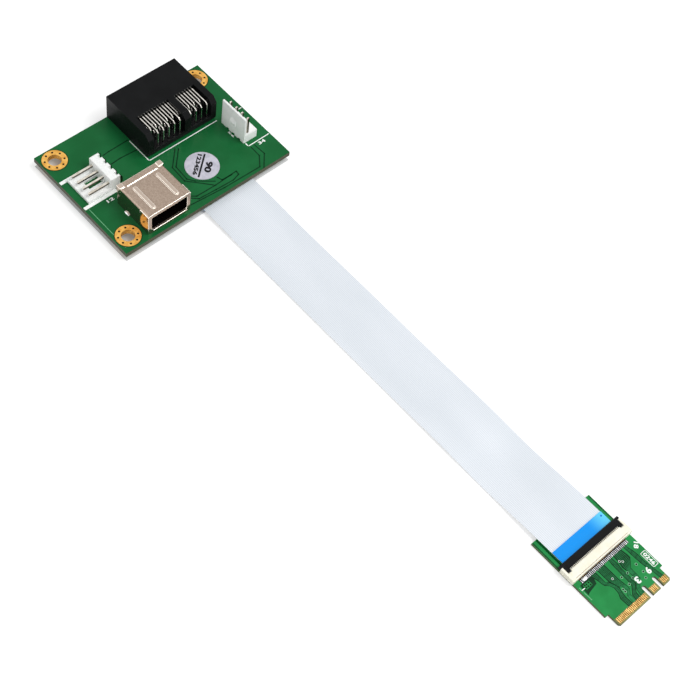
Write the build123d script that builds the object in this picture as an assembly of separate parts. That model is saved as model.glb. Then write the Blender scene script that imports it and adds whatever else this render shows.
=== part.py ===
from math import atan2, hypot, tan
import os

from build123d import *

os.makedirs("parts", exist_ok=True)

# Overall layout, in millimetres
SPAN = 205.0            # main board's outer edge to the card's tip
BOARD_L = 42.3          # main board, along the cable
BOARD_W = 60.0          # main board, across the cable
BOARD_T = 1.6
UNDER_GAP = 2.0         # floor to the main board's underside
CABLE_Y = 7.1           # centre line of the cable and of the card

# Mounting holes of the main board, with plated rings
HOLE_NEAR = 4.1         # hole centre from the outer edge
HOLE_FAR = 4.6          # hole centre from the cable-side edge
HOLE_SIDE = 4.2         # hole centre from either long side
HOLE_R = 2.0
RING_R = 3.7
PLATE_T = 0.06          # plating on the board's faces
BARREL_T = 0.1          # plating inside a hole

# Right-angle expansion slot; depths run from the board's outer edge
SLOT_L = 19.5
SLOT_W = 25.0
SLOT_H = 8.8
SLOT_SIDE = 21.65       # centre of the housing from the board's +Y side
SLOT_BLOCK = 11.3       # depth of the full-height front block
SLOT_SHELF = 2.4        # height of the tail guide behind the block
SLOT_MID = 4.9          # height of the card plane
SLOT_PITCH = 1.0
GROUP_1 = 11            # contact positions before the key
GROUP_2 = 7             # contact positions after the key
KEY_STEP = 3.0          # step between the two groups
KEY_W = 1.8
POCKET_GAP = 1.8        # height of the card pocket
POCKET_DEPTH = 8.1
POCKET_END = 0.95       # pocket end beyond the last contact
LEAD_IN = 0.5           # bevel round the mouth
GROOVE_W = 0.62
GROOVE_START = 0.9      # closed lip in front of the contact grooves
GROOVE_ROOM = 0.1       # air above a contact in its groove
DIVIDER_W = 2.3         # wall between the two open bays
BAY_END = 1.05          # open bay beyond the last contact
REAR_CUT = 1.6          # bevel at the rear of the bay walls
SILL_CUT = 0.8          # bevel at the rear of the tail guide
PEG_R = 1.1
PEG_DEPTH = 4.0
PEG_INSET = 1.9         # peg centre from either end of the housing
PEG_OUT = 1.2           # peg below the board

# Slot contacts: depth from the mouth, distance from the card plane
TIP = (1.1, 1.15)
TOUCH = (2.3, 0.6)
UPPER_RISE = (8.6, 1.7)
UPPER_LEVEL = (9.9, 3.1)
LOWER_LEVEL = (9.4, 1.9)
STRIP_W = 0.42
STRIP_T = 0.25
STRIP_BEND = 0.6        # both sides of a bent corner are cut back by this
TAIL_DEPTH = 18.7       # outermost row of tails
TAIL_STEP = 2.0         # from one row of tails to the next
TAIL_ROWS = 4

PEG_ROOM = 0.1          # air round a peg in its hole

# USB receptacle; lengths run from its rear wall
USB_L = 14.0
USB_W = 14.7
USB_H = 7.9
USB_FRONT = 1.35        # mouth from the board's cable-side edge
USB_Y = 16.2            # centre from the board's -Y side
SHEET = 0.3
SHELL_BEND = 0.6
MOUTH_W = 12.5
MOUTH_H = 5.1
MOUTH_Z = 4.15          # centre height of the mouth
MOUTH_CORNER = 0.5
RIB_L = 9.3
RIB_W = 1.3
RIB_RISE = 0.35
RIB_TAPER = 20
RIB_SPREAD = 8.1
RIB_FRONT = 1.5         # rib end from the mouth
FOLD_BACK = 1.85        # fold line of the rear cover
FOLD_DEPTH = 0.12
FOLD_W = 10.6
FOLD_GAP = 0.35
EAR_L = 1.7             # corner tabs of the rear cover, folded over the sides
EAR_W = 1.4
EAR_RISE = 0.25
EAR_DROP = 1.5
CHEEK_L = 3.7           # doubled side walls at the mouth
CHEEK_T = 0.15
CHEEK_LOW = 0.9
CHEEK_TOP = 0.3         # below the top of the shell
LIP_W = 11.9            # lip under the mouth
LIP_OUT = 0.5
TONGUE_W = 11.1
TONGUE_T = 1.8
TONGUE_Z = 4.5
TONGUE_BACK = 1.1       # tongue end behind the mouth
TONGUE_EDGE = 0.3
CORE_L = 3.4
BELLY_W = 12.3          # opening under the core for the tails
BELLY_H = 1.5
LEG_PLACE = 4.4
LEG_W = 2.0
USB_PIN_W = 0.7
USB_PIN_T = 0.3
USB_PIN_Y = (-3.5, -1.0, 1.0, 3.5)
USB_PIN_BACK = 1.9      # contact end behind the mouth
USB_TAIL = 1.2

# Pin headers
HEAD_PITCH = 2.54
HEAD_WAYS = 4
PIN_W = 0.64
PIN_POINT = 0.15
PIN_BEND = 0.8
POWER_X = 17.45         # centre of the right-angle header
POWER_Y = 10.2          # front of its block from the board's -Y side
POWER_BLOCK = 3.1
POWER_H = 4.7
GUIDE_L = 7.9           # guide plate in front of the block
GUIDE_H = 1.0
WINDOW_W = 2.9
WINDOW_L = 4.7
WINDOW_BACK = 0.2       # window to the block
POWER_PIN_Z = 2.5
POWER_PIN_OUT = 7.0     # pins in front of the block
POWER_TAIL = 1.3        # tails behind the block
NOTCH_W = 1.1
NOTCH_D = 0.8
NOTCH_H = 1.3
AUX_BACK = 15.2         # centre of the upright pins from the board's cable-side edge
AUX_SIDE = 8.8          # outer face of their wall from the board's +Y side
AUX_W = 10.1
AUX_SHIFT = 0.35        # middle of the base from that of the pins
AUX_BASE_D = 4.9
AUX_BASE_H = 3.1
AUX_WALL = 0.6
AUX_H = 10.0
AUX_EDGE = 0.15
AUX_PIN = 1.8           # pins from the wall's outer face
AUX_PIN_H = 9.4
HUMP_W = 2.4            # latch bump on the wall
HUMP_H = 2.6
HUMP_OUT = 0.55
HUMP_Z = 4.9
HUMP_AIR = 0.2          # hollow behind the bump, wider on each side
FOOT_W = 1.1            # drain gaps under the base
FOOT_H = 0.5

# Round label
LABEL_R = 5.1
LABEL_BACK = 11.4       # centre from the board's cable-side edge
LABEL_SIDE = 23.7       # centre from the board's +Y side
LABEL_T = 0.1

# Cable sockets: u from the rear face to the mouth, v across, w up from the board
WAYS = 36
PITCH = 0.5
SOCKET_SIDE = 2.55      # socket end beyond the last contact
SOCKET_D = 4.6
SOCKET_H = 1.9
MAIN_BACK = 9.3         # rear face from the main board's cable-side edge
CARD_REAR = 15.3        # rear face from the card's tip
ROOF_D = 2.9
ROOF_T = 0.4
FLOOR_T = 0.35
REAR_WALL = 0.9
REAR_STEP = 0.5
REAR_STEP_H = 0.25
SILL_L = 0.5
SILL_H = 0.62
ARM_T = 0.65
CABLE_ROOM = 0.1        # cable edge to the socket's side
CABLE_IN = 1.2          # cable end ahead of the socket's rear face
FORK_W = 0.2
FORK_TAIL = 0.9
FORK_TAIL_T = 0.15
FORK_BEAM_T = 0.15
FORK_TOUCH = 3.4
FORK_TIP = 3.8
FORK_TIP_T = 0.27
FORK_BACK = 1.2
FORK_TOP_T = 0.2
HOOK_REAR = 2.95
HOOK_FRONT = 3.25
HOOK_RISE = 0.22
CONTACT_W = 0.75        # height of the cable's contact face
FLAP_AIR = 0.06         # flap to the cable when closed
FLAP_REAR = 3.4
FLAP_FRONT = 5.5
FLAP_TOP = 1.95
FLAP_STEP = 0.12        # front bar to the socket's arms
FLAP_END = 0.1          # front bar short of the socket's ends
FLAP_BEVEL = 0.3
FLAP_ROOM = 0.15        # flap beyond the cable's edge gap
LUG_W = 0.95
LUG_REAR = 2.75
LUG_LOW = 1.3
LUG_TOP = 1.85
NICHE_REAR = 2.45
NICHE_FLOOR = 0.75
PAD_REAR = 0.6
PAD_L = 2.0
PAD_T = 0.15
PAD_INSET = 0.1         # solder tab to the socket's end
PAD_SIDE = 0.2          # solder tab to the cable throat
BLADE_T = 0.2
BLADE_H = 1.1
BLADE_INSET = 0.3
BLADE_SHORT = 0.2

# Flat cable
FILM_T = 0.15
FILM_EDGE = 0.5         # film beyond the outer conductors
STIFF_T = 0.2
STIFF_L = 8.1
ROUTE_FLAT = 14.8       # level stretch at either end
ROUTE_MAIN = 30.3       # first low point from the main end
ROUTE_CARD = 50.0       # crest from the card end
ROUTE_LOW = 33.0        # last low point from the card end
ARC_SHARE = 0.45        # share of the shorter run that an arc takes

# Plug card with keys A and E
CARD_L = 30.0
CARD_W = 22.0
CARD_T = 0.8
TAB_W = 19.85
TAB_L = 4.0
TAB_CORNER = 0.5
KEY_SLOT_W = 1.2
KEY_SLOT_L = 3.5
KEY_A = 6.625           # key centres from the card's centre line
KEY_E = 2.625
KEY_CLEAR = 1.0         # bare on either side of a key's centre
FINGER_W = 0.35
FINGER_BACK = 0.45      # finger end from the tip
FINGER_L = 1.55
FINGER_T = 0.04
FINGER_1 = 9.25         # first finger from the card's centre line
LAST_PIN = 75
NOTCH_R = 1.75          # half-round mounting notch

# Heights and frames of the two boards and their sockets
BOARD_TOP = UNDER_GAP + BOARD_T
CARD_TOP = FINGER_T + CARD_T
MAIN_LEVEL = UNDER_GAP - CONTACT_W - FILM_T / 2
CARD_LEVEL = CARD_TOP + CONTACT_W + FILM_T / 2
MAIN_REAR = BOARD_L - MAIN_BACK - SPAN / 2
BOARD_AT = Pos(-SPAN / 2, -BOARD_W / 2, BOARD_TOP)
CARD_AT = Pos(SPAN / 2, CABLE_Y, CARD_TOP)
MAIN_SOCKET_AT = Pos(MAIN_REAR, CABLE_Y, UNDER_GAP) * Rot(180, 0, 0)
CARD_SOCKET_AT = Pos(SPAN / 2 - CARD_REAR, CABLE_Y, CARD_TOP) * Rot(0, 0, 180)

# Places that follow the main board's edges
SLOT_Y = BOARD_W - SLOT_SIDE
USB_REAR = BOARD_L - USB_FRONT - USB_L
AUX_X = BOARD_L - AUX_BACK
AUX_Y = BOARD_W - AUX_SIDE
LABEL_AT = Pos(BOARD_L - LABEL_BACK, BOARD_W - LABEL_SIDE)

# Rows of contacts and pins
SLOT_ROW = (GROUP_1 + GROUP_2 - 2) * SLOT_PITCH + KEY_STEP
GROUP_1_Y = [SLOT_Y - SLOT_ROW / 2 + i * SLOT_PITCH for i in range(GROUP_1)]
GROUP_2_Y = [SLOT_Y + SLOT_ROW / 2 - i * SLOT_PITCH for i in reversed(range(GROUP_2))]
SLOT_ROW_Y = GROUP_1_Y + GROUP_2_Y
KEY_Y = (GROUP_1_Y[-1] + GROUP_2_Y[0]) / 2
HEAD_STEPS = [(i - (HEAD_WAYS - 1) / 2) * HEAD_PITCH for i in range(HEAD_WAYS)]
HEAD_W = HEAD_WAYS * HEAD_PITCH
POWER_TAIL_Y = POWER_Y + POWER_BLOCK + POWER_TAIL
USB_TAIL_X = USB_REAR + USB_TAIL
WAY_V = [(i - (WAYS - 1) / 2) * PITCH for i in range(WAYS)]
CABLE_W = (WAYS - 1) * PITCH + 2 * FILM_EDGE
THROAT = CABLE_W / 2 + CABLE_ROOM
SOCKET_HALF = (WAYS - 1) * PITCH / 2 + SOCKET_SIDE

# The cable's route in X and Z, and the arc radius at each corner
MAIN_END = MAIN_REAR + CABLE_IN
CARD_END = SPAN / 2 - CARD_REAR - CABLE_IN
FREE_SPAN = CARD_END - ROUTE_CARD - MAIN_END - ROUTE_MAIN
ROUTE = [(MAIN_END, MAIN_LEVEL), (MAIN_END + ROUTE_FLAT, MAIN_LEVEL), (MAIN_END + ROUTE_MAIN, 0.35),
         (MAIN_END + ROUTE_MAIN + 0.35 * FREE_SPAN, 0.6), (MAIN_END + ROUTE_MAIN + 0.73 * FREE_SPAN, 0.3),
         (CARD_END - ROUTE_CARD, 0.95), (CARD_END - ROUTE_LOW, 0.05), (CARD_END - ROUTE_FLAT, CARD_LEVEL),
         (CARD_END, CARD_LEVEL)]


def block(x0, x1, y0, y1, z0, z1):
    """Box between opposite corners, given in either order along Y and Z."""
    centre = Pos((x0 + x1) / 2, (y0 + y1) / 2, (z0 + z1) / 2)
    return centre * Box(abs(x1 - x0), abs(y1 - y0), abs(z1 - z0))


def across(points, y, width):
    """Outline in X and Z, extruded along Y and centred on y."""
    face = make_face(Plane.XZ * Polyline(*points, close=True))
    return Pos(0, y + width / 2, 0) * extrude(face, width, dir=(0, -1, 0))


def along(points, x, width):
    """Outline in Y and Z, extruded along X and centred on x."""
    face = make_face(Plane.YZ * Polyline(*points, close=True))
    return Pos(x - width / 2, 0, 0) * extrude(face, width, dir=(1, 0, 0))


def toward(start, end, length):
    """Point at a given length from start on the way to end."""
    share = length / hypot(end[0] - start[0], end[1] - start[1])
    return start[0] + (end[0] - start[0]) * share, start[1] + (end[1] - start[1]) * share


def strip(points, width, thick):
    """Flat strip that follows a line of points in X and Z, with its width along Y."""
    runs = [(b[0] - a[0], b[1] - a[1]) for a, b in zip(points, points[1:])]
    runs = [(dx / hypot(dx, dz), dz / hypot(dx, dz)) for dx, dz in runs]
    upper, lower = [], []
    for (x, z), a, b in zip(points, runs[:1] + runs, runs + runs[-1:]):
        mitre = thick / 2 / (1 + a[0] * b[0] + a[1] * b[1])
        dx, dz = -(a[1] + b[1]) * mitre, (a[0] + b[0]) * mitre
        upper.append((x + dx, z + dz))
        lower.append((x - dx, z - dz))
    return across(upper + lower[::-1], 0, width)


def round_hole(x, y, radius):
    return Pos(x, y, -BOARD_T / 2) * Cylinder(radius, BOARD_T)


def pin_hole(x, y, section):
    """Plated hole closed by its solder on a pin, whose section is given as two sides."""
    return block(x - section[0] / 2, x + section[0] / 2, y - section[1] / 2, y + section[1] / 2, -BOARD_T, 0)


# Places on the main board

def ring_places():
    far = BOARD_L - HOLE_FAR
    return [(HOLE_NEAR, HOLE_SIDE), (far, HOLE_SIDE), (HOLE_NEAR, BOARD_W - HOLE_SIDE)]


def tail_places(upper):
    """Tails of one row of slot contacts: neighbours stand one step apart."""
    first = TAIL_DEPTH - (0 if upper else TAIL_ROWS / 2) * TAIL_STEP
    return [(first - (i + 1) % 2 * TAIL_STEP, y) for i, y in enumerate(SLOT_ROW_Y)]


def peg_places():
    offset = SLOT_W / 2 - PEG_INSET
    return [(PEG_DEPTH, SLOT_Y - offset), (PEG_DEPTH, SLOT_Y + offset)]


def header_places():
    power = [(POWER_X + step, POWER_TAIL_Y) for step in HEAD_STEPS]
    return power + [(AUX_X + step, AUX_Y + AUX_PIN) for step in HEAD_STEPS]


def usb_pin_places():
    return [(USB_TAIL_X, USB_Y + y) for y in USB_PIN_Y]


def leg_places():
    offset = (USB_W - SHEET) / 2
    return [(USB_REAR + LEG_PLACE, USB_Y - offset), (USB_REAR + LEG_PLACE, USB_Y + offset)]


# Main board and what is plated or stuck on it

def main_board():
    cutters = [round_hole(x, y, HOLE_R + BARREL_T) for x, y in ring_places()]
    cutters += [round_hole(x, y, PEG_R + PEG_ROOM) for x, y in peg_places()]
    cutters += [pin_hole(x, y, (STRIP_T, STRIP_W)) for x, y in tail_places(True) + tail_places(False)]
    cutters += [pin_hole(x, y, (PIN_W, PIN_W)) for x, y in header_places()]
    cutters += [pin_hole(x, y, (USB_PIN_T, USB_PIN_W)) for x, y in usb_pin_places()]
    cutters += [pin_hole(x, y, (LEG_W, SHEET)) for x, y in leg_places()]
    return BOARD_AT * (block(0, BOARD_L, 0, BOARD_W, -BOARD_T, 0) - cutters)


def mounting_rings():
    low, wall = -BOARD_T - PLATE_T, HOLE_R + BARREL_T
    profile = [(HOLE_R, low), (RING_R, low), (RING_R, -BOARD_T), (wall, -BOARD_T),
               (wall, 0), (RING_R, 0), (RING_R, PLATE_T), (HOLE_R, PLATE_T)]
    eyelet = revolve(make_face(Plane.XZ * Polyline(*profile, close=True)), Axis.Z)
    return [BOARD_AT * Pos(x, y, 0) * eyelet for x, y in ring_places()]


def sticker():
    return BOARD_AT * LABEL_AT * Pos(0, 0, LABEL_T / 2) * Cylinder(LABEL_R, LABEL_T)


# Right-angle expansion slot

def slot_pockets():
    """Ends of the two card pockets, on either side of the key."""
    key = KEY_W / 2
    return [(GROUP_1_Y[0] - POCKET_END, KEY_Y - key), (KEY_Y + key, GROUP_2_Y[-1] + POCKET_END)]


def slot_bays():
    wall = DIVIDER_W / 2
    return [(GROUP_1_Y[0] - BAY_END, KEY_Y - wall), (KEY_Y + wall, GROUP_2_Y[-1] + BAY_END)]


def slot_body():
    """Housing in side view: front block, bay walls bevelled at the rear, tail guide."""
    wall = [(0, 0), (SLOT_L - SILL_CUT, 0), (SLOT_L, SILL_CUT), (SLOT_L, SLOT_H - REAR_CUT),
            (SLOT_L - REAR_CUT, SLOT_H), (0, SLOT_H)]
    body = across(wall, SLOT_Y, SLOT_W)
    for y0, y1 in slot_bays():
        body -= block(SLOT_BLOCK, SLOT_L, y0, y1, SLOT_SHELF, SLOT_H)
    low, high = SLOT_MID - POCKET_GAP / 2, SLOT_MID + POCKET_GAP / 2
    throat = [(0, low - LEAD_IN), (LEAD_IN, low), (LEAD_IN, high), (0, high + LEAD_IN)]
    for y0, y1 in slot_pockets():
        body -= block(0, POCKET_DEPTH, y0, y1, low, high)
        body -= across(throat, (y0 + y1) / 2, y1 - y0)
    return body


def slot_grooves():
    """Room for the contacts through the block, and for their tails through the guide."""
    reach = STRIP_T / 2 + GROOVE_ROOM
    top = SLOT_MID + UPPER_LEVEL[1] + reach
    bottom = SLOT_MID - LOWER_LEVEL[1] - reach
    side = GROOVE_W / 2
    cutters = [block(GROOVE_START, SLOT_BLOCK, y - side, y + side, bottom, top) for y in SLOT_ROW_Y]
    for x, y in tail_places(True) + tail_places(False):
        cutters.append(block(x - reach, x + reach, y - side, y + side, 0, SLOT_SHELF))
    return cutters


def slot_housing():
    body = slot_body() - slot_grooves()
    length = BOARD_T + PEG_OUT
    for x, y in peg_places():
        body += Pos(x, y, -length / 2) * Cylinder(PEG_R, length)
    return BOARD_AT * body


def slot_contacts(upper):
    """Sprung strips: tip, contact point, rise to the rear, run and tail."""
    side = 1 if upper else -1
    rises = [UPPER_RISE, UPPER_LEVEL] if upper else [LOWER_LEVEL]
    points = [(x, SLOT_MID + side * z) for x, z in [TIP, TOUCH] + rises]
    contacts = []
    for x, y in tail_places(upper):
        corner, end = (x, points[-1][1]), (x, -BOARD_TOP)
        bend = [toward(corner, points[-1], STRIP_BEND), toward(corner, end, STRIP_BEND)]
        contacts.append(BOARD_AT * Pos(0, y, 0) * strip(points + bend + [end], STRIP_W, STRIP_T))
    return contacts


# USB receptacle

def usb_box():
    """Folded box with its mouth and the opening for the tails."""
    x1 = USB_REAR + USB_L
    y0, y1 = USB_Y - USB_W / 2, USB_Y + USB_W / 2
    box = block(USB_REAR, x1, y0, y1, 0, USB_H)
    box = fillet(box.edges().filter_by(Axis.X).group_by(Axis.Z)[-1], SHELL_BEND)
    box -= block(USB_REAR + SHEET, x1 - SHEET, y0 + SHEET, y1 - SHEET, SHEET, USB_H - SHEET)
    mouth = Plane.YZ * Pos(USB_Y, MOUTH_Z) * RectangleRounded(MOUTH_W, MOUTH_H, MOUTH_CORNER)
    box -= Pos(x1 - SHEET, 0, 0) * extrude(mouth, SHEET)
    return box - block(USB_REAR, USB_REAR + CORE_L, USB_Y - BELLY_W / 2, USB_Y + BELLY_W / 2, 0, BELLY_H)


def usb_shell():
    shell = usb_box()
    rib = extrude(SlotOverall(RIB_L, RIB_W), RIB_RISE, taper=RIB_TAPER)
    mouth = USB_REAR + USB_L
    rib_x = mouth - RIB_FRONT - RIB_L / 2
    for side in (-1, 1):
        edge = USB_Y + side * USB_W / 2
        shell += Pos(rib_x, USB_Y + side * RIB_SPREAD / 2, USB_H) * rib
        inner = edge - side * EAR_W
        shell += block(USB_REAR, USB_REAR + EAR_L, edge, inner, USB_H - SHEET, USB_H + EAR_RISE)
        outer = edge + side * SHEET
        shell += block(USB_REAR, USB_REAR + EAR_L, edge, outer, USB_H - EAR_DROP, USB_H + EAR_RISE)
        cheek = edge + side * CHEEK_T
        shell += block(mouth - CHEEK_L, mouth, edge, cheek, CHEEK_LOW, USB_H - CHEEK_TOP)
        leg = USB_REAR + LEG_PLACE - LEG_W / 2
        shell += block(leg, leg + LEG_W, edge, edge - side * SHEET, -BOARD_TOP, SHEET)
    low, half = MOUTH_Z - MOUTH_H / 2, LIP_W / 2
    shell += block(mouth, mouth + LIP_OUT, USB_Y - half, USB_Y + half, low - SHEET, low)
    fold = USB_REAR + FOLD_BACK
    half = FOLD_W / 2
    shell -= block(fold, fold + FOLD_GAP, USB_Y - half, USB_Y + half, USB_H - FOLD_DEPTH, USB_H)
    return BOARD_AT * shell


def usb_insulator():
    half = USB_W / 2 - SHEET
    core_end = USB_REAR + CORE_L
    body = block(USB_REAR + SHEET, core_end, USB_Y - half, USB_Y + half, SHEET, USB_H - SHEET)
    end = USB_REAR + USB_L - TONGUE_BACK
    half = TONGUE_W / 2
    tongue = block(core_end, end, USB_Y - half, USB_Y + half, TONGUE_Z, TONGUE_Z + TONGUE_T)
    body += chamfer(tongue.edges().group_by(Axis.X)[-1].filter_by(Axis.Y), TONGUE_EDGE)
    half = USB_PIN_W / 2
    for x, y in usb_pin_places():
        body -= block(x - USB_PIN_T / 2, core_end, y - half, y + half, 0, TONGUE_Z)
    return BOARD_AT * body


def usb_contacts():
    z = TONGUE_Z - USB_PIN_T / 2
    end = USB_REAR + USB_L - USB_PIN_BACK
    pin = strip([(end, z), (USB_TAIL_X, z), (USB_TAIL_X, -BOARD_TOP)], USB_PIN_W, USB_PIN_T)
    return [BOARD_AT * Pos(0, y, 0) * pin for x, y in usb_pin_places()]


# Pin headers

def power_header_body():
    rear = POWER_Y + POWER_BLOCK
    x0, x1 = POWER_X - HEAD_W / 2, POWER_X + HEAD_W / 2
    body = block(x0, x1, POWER_Y, rear, 0, POWER_H)
    body += block(x0, x1, POWER_Y - GUIDE_L, POWER_Y, 0, GUIDE_H)
    edge = POWER_Y - WINDOW_BACK
    body -= block(POWER_X - WINDOW_W / 2, POWER_X + WINDOW_W / 2, edge - WINDOW_L, edge, 0, GUIDE_H)
    half = PIN_W / 2
    for x in [POWER_X + step for step in HEAD_STEPS]:
        body -= block(x - half, x + half, POWER_Y, rear, POWER_PIN_Z - half, POWER_PIN_Z + half)
        body -= block(x - NOTCH_W / 2, x + NOTCH_W / 2, rear - NOTCH_D, rear, POWER_H - NOTCH_H, POWER_H)
    return BOARD_AT * body


def power_header_pins():
    tip = POWER_Y - POWER_PIN_OUT
    path = FilletPolyline((0, tip, POWER_PIN_Z), (0, POWER_TAIL_Y, POWER_PIN_Z), (0, POWER_TAIL_Y, -BOARD_TOP),
                          radius=PIN_BEND)
    pin = sweep(Plane(origin=path @ 0, z_dir=path % 0) * Rectangle(PIN_W, PIN_W), path=path)
    pin = chamfer(pin.edges().group_by(Axis.Y)[0], PIN_POINT)
    return [BOARD_AT * Pos(POWER_X + step, 0, 0) * pin for step in HEAD_STEPS]


def aux_header_body():
    middle = AUX_X - AUX_SHIFT
    x0, x1 = middle - AUX_W / 2, middle + AUX_W / 2
    y1 = AUX_Y + AUX_WALL
    body = block(x0, x1, AUX_Y, AUX_Y + AUX_BASE_D, 0, AUX_BASE_H) + block(x0, x1, AUX_Y, y1, 0, AUX_H)
    body = chamfer(body.edges().filter_by(Axis.X).group_by(Axis.Z)[-1], AUX_EDGE)
    body += along([(AUX_Y - HUMP_OUT, HUMP_Z), (AUX_Y, HUMP_Z + HUMP_H / 2), (AUX_Y, HUMP_Z - HUMP_H / 2)],
                  middle, HUMP_W)
    half = HUMP_W / 2 + HUMP_AIR
    body -= block(middle - half, middle + half, y1 - AUX_WALL / 2, y1, AUX_BASE_H, HUMP_Z + HUMP_H)
    half = PIN_W / 2
    pin_y = AUX_Y + AUX_PIN
    for step in HEAD_STEPS:
        x = AUX_X + step
        body -= block(x - half, x + half, pin_y - half, pin_y + half, 0, AUX_BASE_H)
    for step in HEAD_STEPS[1:]:
        x = AUX_X + step - HEAD_PITCH / 2
        body -= block(x - FOOT_W / 2, x + FOOT_W / 2, AUX_Y, AUX_Y + AUX_BASE_D, 0, FOOT_H)
    return BOARD_AT * body


def aux_header_pins():
    half = PIN_W / 2
    pin = block(-half, half, -half, half, -BOARD_TOP, AUX_PIN_H)
    pin = chamfer(pin.edges().group_by(Axis.Z)[-1], PIN_POINT)
    return [BOARD_AT * Pos(AUX_X + step, AUX_Y + AUX_PIN, 0) * pin for step in HEAD_STEPS]


# Cable sockets

def socket_body(place):
    half, arm = SOCKET_HALF, SOCKET_HALF - ARM_T
    body = block(0, SOCKET_D, -half, half, 0, SOCKET_H)
    body -= block(REAR_WALL, SOCKET_D, -THROAT, THROAT, FLOOR_T, SOCKET_H - ROOF_T)
    body -= block(ROOF_D, SOCKET_D, -THROAT, THROAT, FLOOR_T, SOCKET_H)
    body -= block(0, REAR_STEP, -half, half, SOCKET_H - REAR_STEP_H, SOCKET_H)
    for side in (-1, 1):
        body -= block(NICHE_REAR, SOCKET_D, side * THROAT, side * arm, NICHE_FLOOR, SOCKET_H)
        body -= socket_tab(side)
    for v in WAY_V:
        body -= block(0, REAR_WALL, v - FORK_W / 2, v + FORK_W / 2, 0, SOCKET_H - ROOF_T)
    return place * (body + block(SOCKET_D - SILL_L, SOCKET_D, -THROAT, THROAT, 0, SILL_H))


def socket_fork(place):
    """Forked contacts: tail, back, lower beam to the contact point, upper beam to its hook."""
    roof = SOCKET_H - ROOF_T
    lower = FLOOR_T + FORK_BEAM_T
    upper = roof - FORK_TOP_T
    outline = [(-FORK_TAIL, 0), (REAR_WALL, 0), (REAR_WALL, FLOOR_T), (FORK_TIP, CONTACT_W - FORK_TIP_T),
               (FORK_TOUCH, CONTACT_W), (FORK_BACK, lower), (FORK_BACK, upper), (HOOK_FRONT, upper),
               (HOOK_REAR, roof + HOOK_RISE), (HOOK_REAR, roof), (0, roof), (0, FORK_TAIL_T),
               (-FORK_TAIL, FORK_TAIL_T)]
    fork = across(outline, 0, FORK_W)
    return [place * Pos(0, v, 0) * fork for v in WAY_V]


def socket_tab(side):
    """Solder tab under one end of a socket, with the blade that holds it."""
    outer, inner = side * (SOCKET_HALF - PAD_INSET), side * (THROAT + PAD_SIDE)
    pad = block(PAD_REAR, PAD_REAR + PAD_L, outer, inner, 0, PAD_T)
    blade = outer - side * BLADE_INSET
    start, end = PAD_REAR + BLADE_SHORT, PAD_REAR + PAD_L - 2 * BLADE_SHORT
    return pad + block(start, end, blade, blade - side * BLADE_T, 0, BLADE_H)


def socket_tabs(place):
    return [place * socket_tab(side) for side in (-1, 1)]


def socket_flap(place):
    """Lock flap, closed on the cable: bar, wider front lip, and a lug in each niche."""
    low = CONTACT_W + FILM_T + STIFF_T + FLAP_AIR
    lip = SOCKET_D + FLAP_STEP
    bar = [(FLAP_REAR, low), (lip, low), (lip, FLAP_TOP), (FLAP_REAR, FLAP_TOP)]
    front = [(lip, low), (FLAP_FRONT, low), (FLAP_FRONT, FLAP_TOP - FLAP_BEVEL),
             (FLAP_FRONT - FLAP_BEVEL, FLAP_TOP), (lip, FLAP_TOP)]
    inner = THROAT + FLAP_ROOM
    flap = across(bar, 0, 2 * inner) + across(front, 0, 2 * (SOCKET_HALF - FLAP_END))
    for side in (-1, 1):
        flap += block(LUG_REAR, lip, side * inner, side * (inner + LUG_W), LUG_LOW, LUG_TOP)
    return place * flap


# Flat cable and its stiffeners

def cable_radii():
    """Each arc takes a share of the shorter run beside its corner."""
    radii = []
    for (x0, z0), (x1, z1), (x2, z2) in zip(ROUTE, ROUTE[1:], ROUTE[2:]):
        turn = abs(atan2(z2 - z1, x2 - x1) - atan2(z1 - z0, x1 - x0))
        shorter = min(hypot(x1 - x0, z1 - z0), hypot(x2 - x1, z2 - z1))
        radii.append(ARC_SHARE * shorter / tan(turn / 2))
    return radii


def cable_path():
    return FilletPolyline(*[(x, CABLE_Y, z) for x, z in ROUTE], radius=cable_radii())


def ribbon_cable():
    path = cable_path()
    section = Plane(origin=path @ 0, x_dir=(0, 1, 0), z_dir=path % 0) * Rectangle(CABLE_W, FILM_T)
    return sweep(section, path=path)


def stiffener(x0, level, side):
    """Backing strip on the cable's plain face."""
    half = CABLE_W / 2
    inner = level + side * FILM_T / 2
    return block(x0, x0 + STIFF_L, CABLE_Y - half, CABLE_Y + half, inner, inner + side * STIFF_T)


# Plug card

def card_board():
    half, tab = CARD_W / 2, TAB_W / 2
    corners = [(0, -tab), (0, tab), (-TAB_L, tab), (-TAB_L, half), (-CARD_L, half), (-CARD_L, -half),
               (-TAB_L, -half), (-TAB_L, -tab)]
    shape = make_face(Polyline(*corners, close=True))
    shape = chamfer(shape.vertices().group_by(Axis.X)[-1], TAB_CORNER)
    for key in (KEY_A, KEY_E):
        shape -= Pos(0, key) * SlotOverall(2 * KEY_SLOT_L, KEY_SLOT_W)
    shape -= Pos(-CARD_L, 0) * Circle(NOTCH_R)
    return CARD_AT * Pos(0, 0, -CARD_T) * extrude(shape, CARD_T)


def finger_places(first):
    """Finger centres on one face, odd or even numbers; none lies in a key slot."""
    places = [FINGER_1 - (number - 1) * PITCH / 2 for number in range(first, LAST_PIN + 1, 2)]
    return [y for y in places if abs(y - KEY_A) > KEY_CLEAR and abs(y - KEY_E) > KEY_CLEAR]


def fingers(first, low):
    half = FINGER_W / 2
    end = -FINGER_BACK
    return [CARD_AT * block(end - FINGER_L, end, y - half, y + half, low, low + FINGER_T)
            for y in finger_places(first)]


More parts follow.
